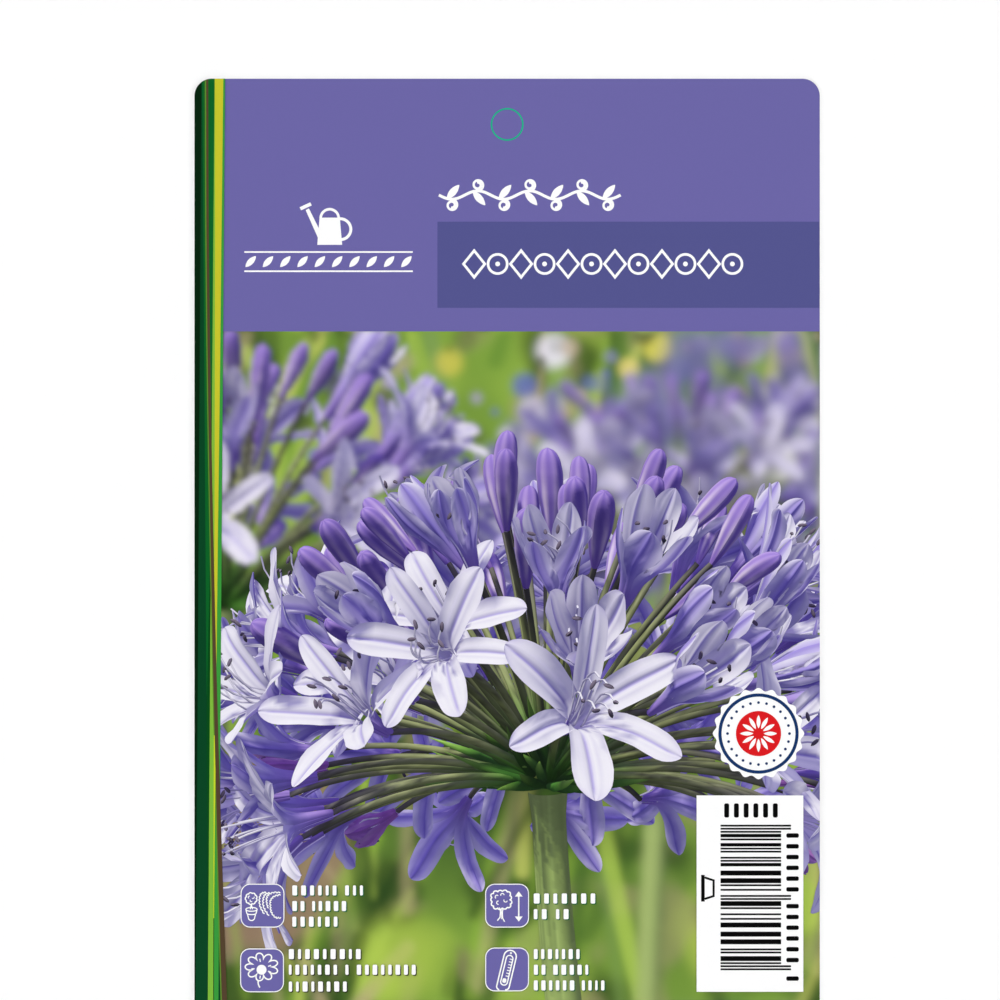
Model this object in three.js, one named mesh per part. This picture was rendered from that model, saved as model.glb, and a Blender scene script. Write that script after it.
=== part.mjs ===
// A plant label for a garden-centre pot: one die-cut sheet of printed plastic card with rounded
// corners. Near its top edge is a hanging hole that is still closed by its knock-out disc: a ring
// of knife cuts goes right through the sheet, and narrow bridges between them hold the disc until
// someone pushes it out.
//
// Millimetres, +Z up. The label lies on its back on z = 0 with its face up and its head towards
// +Y. The origin is the middle of the back face.
import * as THREE from "three";

// Driving dimensions.
const CARD_WIDTH = 108;
const CARD_HEIGHT = 162;
const CARD_THICKNESS = 0.5;
const CORNER_RADIUS = 3;
const HOLE_DIAMETER = 5.4; // measured along the middle of the knife cuts
const HOLE_TO_TOP_EDGE = 7.9; // from the hole's centre to the head of the card
const KNIFE_CUT_WIDTH = 0.12;
const BRIDGE_COUNT = 3;
const BRIDGE_WIDTH = 0.6;
const ARC_STEPS = 16; // straight steps in each rounded corner and each side of a knife cut

const halfWidth = CARD_WIDTH / 2;
const halfHeight = CARD_HEIGHT / 2;
const holeRadius = HOLE_DIAMETER / 2;
const holeCentre = new THREE.Vector2(0, halfHeight - HOLE_TO_TOP_EDGE);

// The outline, counter-clockwise from the lower left corner, with a quarter circle at each corner.
function cardOutline() {
  const right = halfWidth - CORNER_RADIUS;
  const top = halfHeight - CORNER_RADIUS;
  const outline = new THREE.Shape();
  outline.absarc(-right, -top, CORNER_RADIUS, Math.PI, 1.5 * Math.PI);
  outline.absarc(right, -top, CORNER_RADIUS, 1.5 * Math.PI, 2 * Math.PI);
  outline.absarc(right, top, CORNER_RADIUS, 0, 0.5 * Math.PI);
  outline.absarc(-right, top, CORNER_RADIUS, 0.5 * Math.PI, Math.PI);
  outline.closePath();
  return outline;
}

// One knife cut: a slot between two arcs around the hole's centre, from one bridge to the next.
function knifeCut(index) {
  const pitch = (2 * Math.PI) / BRIDGE_COUNT;
  const bridgeHalfAngle = BRIDGE_WIDTH / 2 / holeRadius;
  const start = Math.PI / 2 + index * pitch + bridgeHalfAngle;
  const end = start + pitch - 2 * bridgeHalfAngle;
  const outer = holeRadius + KNIFE_CUT_WIDTH / 2;
  const inner = holeRadius - KNIFE_CUT_WIDTH / 2;
  const cut = new THREE.Path();
  cut.absarc(holeCentre.x, holeCentre.y, outer, start, end, false);
  cut.absarc(holeCentre.x, holeCentre.y, inner, end, start, true);
  cut.closePath();
  return cut;
}

function card() {
  const outline = cardOutline();
  for (let i = 0; i < BRIDGE_COUNT; i += 1) outline.holes.push(knifeCut(i));
  const geometry = new THREE.ExtrudeGeometry(outline, {
    depth: CARD_THICKNESS,
    bevelEnabled: false,
    curveSegments: ARC_STEPS,
  });
  const material = new THREE.MeshStandardMaterial({
    color: 0xf4f4f1,
    roughness: 0.4,
    metalness: 0,
  });
  const mesh = new THREE.Mesh(geometry, material);
  mesh.name = "label_card";
  return mesh;
}

const plantLabel = new THREE.Group();
plantLabel.name = "plant_label";
plantLabel.add(card());

export default plantLabel;
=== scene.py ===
"""A printed plant label: the finish of its plastic card and everything printed on its face.

The card lies on its back with its face up. All that is printed is a thin film of ink on the face,
trimmed to the card's die line. Layout sizes are in millimetres from the card's left edge and down
from its head, the way a label is drawn, and at() turns them into the model's own place.

For the flower picture an agapanthus head is modelled in the round, lit, seen through a lens from
the front, and pressed flat on the card as ink. What lies out of focus behind it is a soft garden
ground, coloured at the points of one fine grid.
"""

import math
from types import SimpleNamespace

import bpy
import numpy as np
from bpy.props import FloatProperty, FloatVectorProperty, IntProperty, PointerProperty
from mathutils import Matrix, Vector
from mathutils.bvhtree import BVHTree


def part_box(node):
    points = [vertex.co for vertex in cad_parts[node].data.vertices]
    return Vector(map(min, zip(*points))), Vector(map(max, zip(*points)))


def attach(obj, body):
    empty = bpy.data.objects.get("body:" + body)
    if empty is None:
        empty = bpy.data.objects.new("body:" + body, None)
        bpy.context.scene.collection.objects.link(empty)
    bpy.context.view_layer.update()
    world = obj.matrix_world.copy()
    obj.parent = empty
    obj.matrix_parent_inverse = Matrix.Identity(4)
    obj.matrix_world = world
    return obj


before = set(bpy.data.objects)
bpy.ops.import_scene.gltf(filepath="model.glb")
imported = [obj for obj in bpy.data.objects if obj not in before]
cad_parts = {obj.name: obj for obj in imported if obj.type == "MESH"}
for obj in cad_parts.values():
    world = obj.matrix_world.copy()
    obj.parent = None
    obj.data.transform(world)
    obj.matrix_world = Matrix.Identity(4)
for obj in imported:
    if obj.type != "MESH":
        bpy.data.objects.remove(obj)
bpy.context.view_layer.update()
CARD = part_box("label_card")

bl_info = {
    "name": "Plant Label",
    "version": (1, 0, 0),
    "blender": (4, 5, 0),
    "location": "3D View > Sidebar > Plant Label",
    "description": "Prints a garden plant label: heading, flower picture, care symbols and bars",
    "category": "Object",
}

MM = 0.001

# ---- places on the card

CARD_LEFT, CARD_FOOT, _ = (value / MM for value in CARD[0])
CARD_RIGHT, CARD_HEAD, CARD_FACE = (value / MM for value in CARD[1])
CARD_WIDTH = CARD_RIGHT - CARD_LEFT
CARD_HEIGHT = CARD_HEAD - CARD_FOOT
CORNER_RADIUS = 3.0
DIE_MARGIN = 0.01  # bare card between the ink and the cut edge

# How far each layer of ink stands over the card's face.
GROUND_INK = 0.006
FLOWER_INK_LOW = 0.014
FLOWER_INK_HIGH = 0.134
HEADING_OVERPRINT = 0.016
HEADING_TOP = 0.026
OVERPRINT = 0.140
SECOND_OVERPRINT = 0.168
THIRD_OVERPRINT = 0.176
FILM = 0.006  # thickness of one layer
LIFT = 0.001  # step between shapes of one layer that cross each other
STRIPE_STEP = 0.0025  # step between stripes

# The knife line of the hanging hole.
HOLE_DROP = 7.9
HOLE_RADIUS = 2.7
HOLE_LINE = 0.26

# The blades of colour at the left edge, each over the one before: its colour, the rows where it
# starts and ends, and where its left and right sides run at each of the rows of STRIPE_ROWS.
STRIPE_ROWS = (0, 27, 54, 81, 108, 135, 162)
STRIPES = (
    ("ground", (3, 68, 34), 0, 162,
     (0, 0, 0, 0, 0, 0, 0), (5.25, 5.04, 4.84, 4.65, 4.45, 4.60, 5.50)),
    ("shade", (0, 34, 7), 0, 162,
     (0, 0, 0, 0, 0, 0, 0), (1.22, 1.07, 0.90, 0.72, 0.55, 0.36, 0.22)),
    ("moss", (1, 74, 22), 86, 150,
     (3.00, 3.00, 3.00, 2.64, 2.12, 2.22, 2.28), (3.10, 3.10, 3.10, 2.90, 2.80, 2.60, 2.40)),
    ("leaf", (7, 98, 37), 0, 108,
     (1.34, 1.54, 1.74, 1.92, 2.12, 2.30, 2.50), (3.60, 3.56, 3.20, 2.75, 2.14, 2.00, 2.00)),
    ("lime", (201, 198, 45), 0, 106,
     (3.50, 3.50, 3.46, 3.40, 3.30, 3.20, 3.10), (5.05, 4.73, 4.43, 4.10, 3.80, 3.50, 3.20)),
    ("sprout", (128, 187, 61), 0, 162,
     (3.50, 3.28, 3.06, 2.86, 2.68, 2.49, 2.29), (3.53, 3.57, 3.52, 3.45, 3.36, 3.30, 3.24)),
    ("grass", (57, 154, 60), 0, 162,
     (4.99, 4.68, 4.38, 4.04, 3.74, 3.45, 3.38), (5.30, 5.09, 4.89, 4.70, 4.52, 4.28, 4.14)),
    ("vein", (96, 140, 45), 0, 162,
     (1.80, 1.88, 2.17, 2.64, 3.20, 3.87, 4.59), (2.10, 2.16, 2.43, 2.88, 3.44, 4.12, 4.90)),
    ("lemon", (200, 214, 42), 113, 145,
     (3.50, 3.50, 3.50, 3.42, 3.36, 3.30, 3.28), (4.50, 4.40, 4.30, 4.20, 3.80, 3.47, 3.30)),
    ("bark", (84, 66, 46), 0, 162,
     (2.03, 2.09, 2.36, 2.81, 3.37, 4.05, 4.81), (2.38, 2.49, 2.83, 3.32, 3.98, 4.79, 5.72)),
)
STRIPE_TONE = 0.93  # the inks are a little darker than they look in full light

# The care lines: left and top of each, its width, the marks in each of its words, and its shade.
LINE_HEIGHT = 1.75
MARK_CORNER = 0.2
SHADE_OFFSET = (0.16, 0.17)
NARROW_MARK, WIDE_MARK, MARK_GAP, WORD_GAP = 0.40, 0.74, 0.55, 1.2  # against each other
MARK_SEED = 5  # start of the random draws for the marks' widths
CARE_LINES = (
    (16.9, 139.3, 12.2, (6, 3), "shade"),
    (16.9, 142.0, 9.3, (2, 5), "shade"),
    (16.9, 144.7, 7.8, (6,), "shade"),
    (16.3, 150.3, 12.4, (9,), "dark_shade"),
    (16.3, 153.0, 21.9, (7, 1, 8), "dark_shade"),
    (16.3, 155.9, 10.0, (8,), "dark_shade"),
    (58.6, 140.7, 10.6, (7,), "shade"),
    (58.6, 143.4, 6.0, (2, 2), "shade"),
    (58.6, 150.3, 7.9, (7,), "shade"),
    (58.6, 153.0, 9.4, (2, 5), "shade"),
    (58.6, 155.7, 12.2, (6, 4), "shade"),
)

# The care tiles: the white border of each, and its symbol, drawn from the tile's left and top.
TILE_BORDER = 0.16
SYMBOL_LINE = 0.24
BUSH_EDGES = (
    ((4.40, 1.55), (3.60, 1.80), (3.34, 2.80), (3.50, 3.95), (4.15, 5.15)),
    ((5.05, 1.62), (4.25, 2.00), (3.96, 3.00), (4.15, 4.20), (4.95, 5.45)),
    ((6.85, 1.62), (5.60, 1.62), (4.70, 2.20), (4.60, 3.20), (4.85, 4.20)),
    ((6.92, 1.98), (5.85, 2.25), (5.25, 2.95), (5.25, 3.90), (5.40, 4.85), (6.05, 5.70), (6.95, 5.80)),
)

# The bars on the panel, which lie on their side.
BARS_LEFT, BARS_RIGHT, BARS_GUARD_RIGHT = 90.85, 101.30, 103.0
BARS_TOP, BARS_BOTTOM = 128.87, 153.93
BAR_MODULES = 95
BAR_GUARDS = (0, 2, 46, 48, 92, 94)
BAR_GROWTH = 0.05  # how much the ink of a bar spreads beyond its own width
BAR_SEED = 11  # start of the random draws for the bars

# The plain dashes that stand for digits, down the right side of the bars and in a row above them.
DIGIT_PITCH = 1.86
SIDE_DIGITS = [start + DIGIT_PITCH * step for start in (130.7, 142.9) for step in range(6)] + [155.4]
SIDE_DIGIT_LEFT, SIDE_DIGIT_RIGHT, SIDE_DIGIT_HALF = 102.2, 104.35, 0.38
TOP_DIGITS = np.linspace(91.9, 100.3, 6)
TOP_DIGIT_HEAD, TOP_DIGIT_FOOT, TOP_DIGIT_HALF = 125.15, 127.6, 0.42

# A pot in outline on the panel, on its side like the bars: its rim, and the line around its wall.
POT_RIM = (87.5, 137.5, 88.1, 142.1)
POT_WALL = ((88.1, 137.95), (89.65, 138.45), (89.65, 141.15), (88.1, 141.65))

SEAL_PLACE = (97.4, 113.1)
SEAL_RADIUS = 7.9
SEAL_WAVES, SEAL_WAVE_DEPTH = 20, 0.55
SEAL_RING, SEAL_DOTS, SEAL_CENTRE = 6.65, 5.35, 3.9  # radii
SEAL_RAY_START, SEAL_RAY_END = 0.9, 3.2


def at(from_left, from_head):
    """The place of a point of the layout, in millimetres in the model's axes."""
    return (CARD_LEFT + from_left, CARD_HEAD - from_head)


def trimmed(places):
    """Draws the places that lie outside the card's die line back onto it."""
    places = np.array(places, dtype=float)
    low = np.array((CARD_LEFT, CARD_FOOT)) + CORNER_RADIUS
    high = np.array((CARD_RIGHT, CARD_HEAD)) - CORNER_RADIUS
    core = np.clip(places[..., :2], low, high)
    away = places[..., :2] - core
    reach = np.linalg.norm(away, axis=-1, keepdims=True)
    shorten = np.minimum(1.0, (CORNER_RADIUS - DIE_MARGIN) / np.maximum(reach, 1e-9))
    places[..., :2] = core + away * shorten
    return places


# ---- settings


def colour_setting(name, description, default):
    return FloatVectorProperty(
        name=name, description=description, default=default, subtype="COLOR", size=3, min=0, max=1
    )


def size_setting(name, description, default, lowest=0.0):
    return FloatProperty(name=name, description=description, default=default, min=lowest, unit="NONE")


class LabelLayout(bpy.types.PropertyGroup):
    """Sizes of the printed areas, in millimetres."""

    heading_height: size_setting("Heading height", "From the head to the picture", 43.65)
    band_left: size_setting("Name band left", "From the left edge to the name band", 41.96)
    band_top: size_setting("Name band top", "From the head to the top of the name band", 24.70)
    band_bottom: size_setting("Name band bottom", "From the head to the foot of the band", 39.58)
    tile_size: size_setting("Care tile size", "Side of a care symbol's tile", 7.56)
    tile_radius: size_setting("Care tile radius", "Corner radius of the tile", 1.65)
    panel_left: size_setting("Bar panel left", "From the left edge to the bar panel", 86.71)
    panel_right: size_setting("Bar panel right", "From the left edge to the panel's right", 105.14)
    panel_top: size_setting("Bar panel top", "From the head to the top of the panel", 123.78)
    panel_bottom: size_setting("Bar panel bottom", "From the head to the foot of the panel", 157.69)


class LabelInks(bpy.types.PropertyGroup):
    """Colours of the card and of the flat inks."""

    card: colour_setting("Card", "The plastic card itself", (0.86, 0.86, 0.85))
    heading: colour_setting("Heading", "Heading and care tiles", (0.143, 0.126, 0.367))
    band: colour_setting("Name band", "Darker band behind the name", (0.084, 0.086, 0.262))
    hole_line: colour_setting("Hole line", "Ring around the hanging hole", (0.001, 0.430, 0.225))
    white: colour_setting("White", "Symbols, lines and panel", (0.96, 0.96, 0.96))
    black: colour_setting("Black", "Bars", (0.0, 0.0, 0.0))
    shade: colour_setting("Drop shade", "Shade behind the care lines", (0.006, 0.125, 0.045))
    dark_shade: colour_setting("Dark drop shade", "Shade beside the daisy", (0.022, 0.024, 0.014))
    navy: colour_setting("Navy", "Seal ring", (0.006, 0.033, 0.128))
    red: colour_setting("Red", "Seal centre", (0.680, 0.010, 0.014))


class UmbelShape(bpy.types.PropertyGroup):
    """Sizes of the flower head as it is printed, in millimetres."""

    florets: IntProperty(name="Florets", description="Florets in the head", default=185, min=1)
    stalk: size_setting("Stalk", "Length of a floret's own stalk", 45.0)
    floret: size_setting("Floret", "Length of a floret, from its stalk to a tip", 21.0)
    hub_left: size_setting("Hub across", "From the card's left edge to the hub", 61.0)
    hub_head: size_setting("Hub down", "From the card's head to the hub", 122.0)
    seed: IntProperty(name="Seed", description="Start of the random draws", default=21, min=0)


class StudioSettings(bpy.types.PropertyGroup):
    """The floor, lights and camera."""

    floor: colour_setting("Floor", "Colour of the floor", (0.95, 0.95, 0.95))
    softbox: size_setting("Softbox power", "Power of each light", 37.9)
    fill: size_setting("Fill", "Strength of the room low down", 1.0)
    ceiling: size_setting("Ceiling", "Strength of the rest of the room", 0.003)
    view_width: size_setting("View width", "Width that the camera takes in, in mm", 172.72)
    view_across: size_setting("View across", "Right of the origin, in mm", -1.235, -CARD_WIDTH)
    view_up: size_setting("View up", "Towards the head from the origin, in mm", 8.23, -CARD_HEIGHT)


# ---- small sums


def smooth(value, low, high):
    """Eases from 0 at low to 1 at high."""
    share = np.clip((value - low) / (high - low), 0.0, 1.0)
    return share * share * (3.0 - 2.0 * share)


def ridge(value, middle, width):
    """A soft hump of height 1 around middle."""
    return np.exp(-(((value - middle) / width) ** 2))


def mixed(first, second, share):
    """Goes from one colour or place to another by a share at each point."""
    first, second = np.asarray(first, dtype=float), np.asarray(second, dtype=float)
    return first + (second - first) * np.asarray(share)[..., None]


def unit(vectors):
    return vectors / np.maximum(np.linalg.norm(vectors, axis=-1, keepdims=True), 1e-9)


def axes_along(direction, roll):
    """Three axes as rows, with the last along direction and the others turned by roll."""
    direction = unit(np.asarray(direction, dtype=float))
    helper = (0.0, 0.0, 1.0) if abs(direction[2]) < 0.9 else (1.0, 0.0, 0.0)
    side = unit(np.cross(helper, direction))
    other = np.cross(direction, side)
    c, s = math.cos(roll), math.sin(roll)
    return np.array((side * c + other * s, other * c - side * s, direction))


def whole_turn(count):
    """Even steps around a circle, without the last, which is the first again."""
    return np.linspace(0, 2 * math.pi, count, endpoint=False)


def curve_through(start, middle, end, count):
    """A smooth path from start to end that is drawn towards middle."""
    share = np.linspace(0, 1, count)[:, None]
    return start * (1 - share) ** 2 + 2 * middle * share * (1 - share) + end * share**2


def flowing(down, rows, stations):
    """A smooth line through stations at rows, at each place down."""
    rows, stations = np.asarray(rows), np.asarray(stations, dtype=float)
    slopes = np.gradient(stations, rows)
    index = np.clip(np.searchsorted(rows, down) - 1, 0, len(rows) - 2)
    gap = rows[index + 1] - rows[index]
    share = (down - rows[index]) / gap
    start = (1 + 2 * share) * (1 - share) ** 2 * stations[index]
    end = share**2 * (3 - 2 * share) * stations[index + 1]
    leave = share * (1 - share) ** 2 * gap * slopes[index]
    arrive = share**2 * (share - 1) * gap * slopes[index + 1]
    return start + end + leave + arrive


def hue(red, green, blue):
    """A colour given the way a screen shows it, from 0 to 255, as the linear light it stands for."""
    value = np.array((red, green, blue)) / 255.0
    return np.where(value <= 0.04045, value / 12.92, ((value + 0.055) / 1.055) ** 2.4)


# ---- sheets of petals and stalks


class Sheets:
    """Grids of points with a colour on each side, gathered for one picture."""

    def __init__(self):
        self.grids = []

    def add(self, kind, points, inside, outside=None, thin=0.0, solid=False):
        """Adds a grid. Its inside is where rows crossed with columns point."""
        grid = SimpleNamespace(kind=kind, points=points, inside=inside, thin=thin, solid=solid)
        grid.outside = inside if outside is None else outside
        self.grids.append(grid)

    def joined(self):
        """All grids as one mesh: an entry for each point, and for each four-sided face."""
        columns = {key: [] for key in ("places", "normals", "inside", "outside", "thin")}
        faces, start = [], 0
        for grid in self.grids:
            shape = grid.points.shape
            count = shape[0] * shape[1]
            faces.append(squares(start + np.arange(count).reshape(shape[:2])))
            slopes = np.cross(np.gradient(grid.points, axis=0), np.gradient(grid.points, axis=1))
            columns["places"].append(grid.points.reshape(-1, 3))
            columns["normals"].append(unit(slopes).reshape(-1, 3))
            columns["inside"].append(np.broadcast_to(grid.inside, shape).reshape(-1, 3))
            columns["outside"].append(np.broadcast_to(grid.outside, shape).reshape(-1, 3))
            columns["thin"].append(np.full(count, grid.thin))
            start += count
        mesh = SimpleNamespace(**{key: np.concatenate(values) for key, values in columns.items()})
        mesh.faces = np.concatenate(faces)
        mesh.grid_of_face = np.repeat(np.arange(len(faces)), [len(mine) for mine in faces])
        return mesh


def squares(index):
    """The four-sided faces of a grid of points, given the points' numbers."""
    corners = (index[:-1, :-1], index[1:, :-1], index[1:, 1:], index[:-1, 1:])
    return np.stack([corner.ravel() for corner in corners], axis=1)


PETAL_PALE = hue(232, 229, 250)
PETAL_TIP = hue(186, 176, 234)
PETAL_STRIPE = hue(110, 94, 194)
PETAL_BACK = hue(156, 144, 218)
PETAL_BACK_EDGE = hue(208, 202, 243)
TUBE = hue(128, 96, 184)
BUD = hue(146, 120, 198)
BUD_LIGHT = hue(224, 206, 230)
BUD_DARK = hue(94, 74, 166)
STALK_BASE = hue(64, 122, 38)
STALK = hue(132, 142, 90)
STALK_DARK = hue(88, 82, 88)
STALK_SPECKLE = hue(60, 60, 44)
ANTHER = hue(92, 84, 98)
WITHERED = hue(160, 92, 166)
BRACT = hue(48, 92, 32)
BRACT_TIP = hue(122, 170, 66)
SCAPE = hue(148, 176, 90)

# The rows and columns of a tepal's grid: rows from its foot to its tip, columns from side to side.
ROWS_ALONG = np.concatenate(
    (np.linspace(0, 0.28, 5), np.linspace(0.35, 0.86, 8), (0.90, 0.93, 0.957, 0.978, 0.992, 1))
)
ACROSS = np.array((-1, -0.88, -0.64, -0.42, -0.24, -0.11, -0.035, 0.035, 0.11, 0.24, 0.42, 0.64, 0.88, 1))
GOLDEN_TURN = math.pi * (3 - math.sqrt(5))
HEAD_LEAN = 0.32  # how far the head's top tips towards the viewer, in radians
BRACT_COUNT = 60
SCAPE_FOOT = (6.0, -62.0, -10.0)  # where the stem of the head ends, from its hub
SCAPE_SEED = 3  # start of the random draws for the stem's grain
LOWEST_FLORET = -0.46  # the rise of the lowest florets, where 1 is straight up


def lobe_width(along):
    """A lobe's width from the mouth of the tube to its tip, against its greatest."""
    share = (along - 0.26) / 0.74
    stations = (0, 0.15, 0.35, 0.58, 0.76, 0.86, 0.92, 0.96, 0.985, 1)
    return np.interp(share, stations, (0.48, 0.68, 0.90, 1, 0.97, 0.84, 0.68, 0.49, 0.30, 0.10))


def tepal(length, half_width, opening, age, rng):
    """One of a floret's six tepals, growing up the Z axis and opening towards +X."""
    along, across = np.meshgrid(ROWS_ALONG, ACROSS, indexing="ij")
    lean = 0.13 + opening * rng.uniform(0.85, 1.15) * smooth(ROWS_ALONG, 0.18, 0.62)
    curl = rng.uniform(0.15, 0.55) * smooth(opening, 0.3, 0.9)
    lean = lean + curl * smooth(ROWS_ALONG, 0.6, 1.0)
    lean = lean - 0.45 * (1 - smooth(opening, 0.15, 0.5)) * smooth(ROWS_ALONG, 0.55, 1.0)
    step = np.diff(ROWS_ALONG, prepend=0.0) * length
    radius = (0.9 + np.cumsum(np.sin(lean) * step))[:, None]
    height = np.cumsum(np.cos(lean) * step)[:, None]
    lean = lean[:, None]
    in_tube = 1 - smooth(along, 0.26, 0.42)
    half = radius * math.pi / 6 * 1.08 * in_tube + half_width * lobe_width(along) * (1 - in_tube)
    turn = across * half / radius
    flat = smooth(along, 0.28, 0.55)
    x = radius * np.cos(turn) * (1 - flat) + radius * flat
    y = radius * np.sin(turn) * (1 - flat) + half * across * flat
    waves = rng.uniform(1.6, 3.0)
    ruffle = np.sin((along * waves + rng.uniform(0, 1) + 0.23 * np.sign(across)) * 2 * math.pi)
    rise = 0.30 * half * across**2 * (1 - 0.75 * smooth(along, 0.5, 1.0))
    rise = rise + 0.30 * ruffle * np.abs(across) ** 3 * smooth(along, 0.42, 0.7) * (half / 2)
    rise = rise - 0.045 * half * np.cos(across * 3 * math.pi) * smooth(along, 0.3, 0.5)
    rise = rise - 0.16 * ridge(across, 0, 0.14) * smooth(along, 0.3, 0.5)
    y = y + rng.normal(0, 0.9) * smooth(along, 0.35, 1.0) ** 2
    points = np.stack((x - np.cos(lean) * rise, y, height + np.sin(lean) * rise), axis=-1)

    stripe = ridge(across, 0, 0.115) * smooth(along, 0.22, 0.5) * (1 - smooth(along, 0.90, 0.99))
    veins = ridge(np.abs(across), 0.45, 0.13) * smooth(along, 0.25, 0.5)
    veins = veins * (1 - smooth(along, 0.75, 0.97))
    rim = smooth(np.abs(across), 0.8, 1.0)
    inside = mixed(PETAL_PALE, PETAL_TIP, 0.55 * smooth(along, 0.86, 1.0) + 0.30 * rim)
    inside = mixed(inside, PETAL_STRIPE, 0.80 * stripe + 0.20 * veins)
    edge = smooth(np.abs(across), 0.3, 0.95) * smooth(along, 0.3, 0.6)
    outside = mixed(PETAL_BACK, PETAL_BACK_EDGE, edge)
    outside = mixed(outside, TUBE, 0.75 * (1 - smooth(along, 0.1, 0.5)))
    outside = mixed(outside, PETAL_STRIPE, 0.70 * ridge(across, 0, 0.16) * smooth(along, 0.3, 0.6))
    inside, outside = (mixed(colour, WITHERED, 0.75 * age) for colour in (inside, outside))
    return points, inside, outside


def turned(points, angle):
    """Points turned about the Z axis."""
    c, s = math.cos(angle), math.sin(angle)
    return points @ np.array(((c, s, 0), (-s, c, 0), (0, 0, 1)))


def tube(path, radii, sides):
    """The skin of a round stalk along a path."""
    path = np.asarray(path, dtype=float)
    ahead = unit(np.gradient(path, axis=0))
    side = unit(np.cross(ahead, (0.31, -0.22, 0.92)))
    other = np.cross(ahead, side)
    turn = np.linspace(0, 2 * math.pi, sides + 1)
    ring = side[:, None] * np.cos(turn)[None, :, None] - other[:, None] * np.sin(turn)[None, :, None]
    return path[:, None] + ring * np.asarray(radii, dtype=float).reshape(-1, 1, 1)


def filament(length, droop, azimuth):
    """The path of one stamen, which bows down and then lifts its tip."""
    share = np.linspace(0, 1, 8)
    path = np.stack((1.1 + 1.2 * share, np.zeros(8), length * (0.30 + 0.62 * share)), axis=-1)
    path = turned(path, azimuth)
    path[:, 0] += droop * np.sin(share * math.pi * 0.9) ** 2
    path[-1, 0] -= 0.5 * droop
    return path


def add_floret(sheets, place, axes, size, opening, age, rng):
    """An open floret: six tepals, six stamens and a style."""
    for index in range(6):
        inner = index % 2
        half_width = size * (0.128 if inner else 0.104) * rng.uniform(0.92, 1.08)
        points, inside, outside = tepal(size, half_width, opening, age, rng)
        points[..., 0] -= 0.40 * inner
        tint = rng.uniform(0.92, 1.04)
        points = turned(points, index * math.pi / 3 + rng.normal(0, 0.05)) @ axes + place
        sheets.add("petals", points, inside * tint, outside * tint, thin=0.5)
    droop = rng.uniform(0.5, 2.2)
    for index in range(7):
        style = index == 6
        length = size * (rng.uniform(0.74, 0.92) if not style else 1.02)
        path = filament(length, droop, index * math.pi / 3 + 0.5)
        skin = tube(path, np.full(8, 0.17), 4) @ axes + place
        sheets.add("stamens", skin, PETAL_PALE * 0.95, thin=0.3, solid=True)
        if not style:
            across = unit(rng.normal(size=3) + np.array((0, 0, 0.6)))
            bead = path[-1] + np.linspace(-0.8, 0.8, 6)[:, None] * across
            skin = tube(bead, (0.05, 0.26, 0.31, 0.31, 0.26, 0.05), 5) @ axes + place
            sheets.add("stamens", skin, ANTHER, solid=True)


def add_bud(sheets, place, axes, size, rng):
    """A closed bud: a club shape with six ribs."""
    along = 1 - np.linspace(1, 0, 20) ** 1.25
    stations = (0, 0.06, 0.22, 0.5, 0.74, 0.88, 0.95, 0.985, 1)
    profile = np.interp(along, stations, (0.26, 0.36, 0.60, 0.94, 1, 0.86, 0.62, 0.36, 0.03))
    turn = np.linspace(0, 2 * math.pi, 37)
    ribs = np.cos(turn * 6)[None, :]
    girth = size * 0.136 * profile[:, None] * (1 + 0.045 * ribs)
    bend = rng.normal(0, 0.05) * size * along**2
    z = np.broadcast_to(size * along[:, None], girth.shape)
    points = np.stack((girth * np.sin(turn), girth * np.cos(turn) + bend[:, None], z), axis=-1)
    light = 0.5 + 0.5 * ribs * np.ones_like(z)
    share = z / size
    colour = mixed(BUD, BUD_LIGHT, 0.72 * light**1.5 * ridge(share, 0.42, 0.26))
    colour = mixed(colour, BUD_DARK, (1 - light) * 0.50 + 0.22 * smooth(share, 0.75, 1.0))
    colour = mixed(colour, TUBE, 0.8 * (1 - smooth(share, 0.0, 0.3)))
    sheets.add("buds", points @ axes + place, colour * rng.uniform(0.9, 1.12), thin=0.35, solid=True)


def add_stalk(sheets, hub, way, length, scale, rng):
    """A floret's own stalk, which rises from the hub and bows outwards. Returns its far end."""
    count = 26
    end = hub + way * length
    bend = hub + unit(way + np.array((0, 0.30, 0))) * length * 0.55
    path = curve_through(hub, bend, end, count)
    shape = (count, 9)
    share = np.linspace(0, 1, count)[:, None] * np.ones(shape)
    colour = mixed(STALK_BASE, STALK, smooth(share, 0.10, 0.50))
    colour = mixed(colour, STALK_DARK, 0.85 * smooth(share, 0.55, 1.0)) * rng.uniform(0.75, 1.25)
    specks = smooth(rng.normal(0, 1, shape), 0.9, 1.8) * 0.6
    colour = mixed(colour, STALK_SPECKLE, specks) * (1 + rng.normal(0, 0.08, shape))[..., None]
    sheets.add("stalks", tube(path, scale * np.linspace(0.72, 0.50, count), 8), colour, solid=True)
    return end


def add_bracts(sheets, hub, rng):
    """Narrow dark blades around the hub."""
    for _ in range(BRACT_COUNT):
        way = rng.normal(0, 1, 3) * np.array((1.0, 0.6, 0.8))
        way = unit(np.array((way[0], abs(way[1]) - 0.1, way[2])))
        reach = way * rng.uniform(9, 24)
        path = curve_through(hub, hub + reach * 0.5 + rng.normal(0, 1.6, 3), hub + reach, 12)
        radii = 0.85 * np.sin(np.linspace(0.5, 3.1, 12))
        tone = smooth(np.linspace(0, 1, 12), 0.5, 1.1)[:, None] * np.ones((12, 7))
        colour = mixed(BRACT, BRACT_TIP, tone) * rng.uniform(0.6, 1.6)
        sheets.add("stalks", tube(path, radii, 6), colour, thin=0.4, solid=True)


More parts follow.
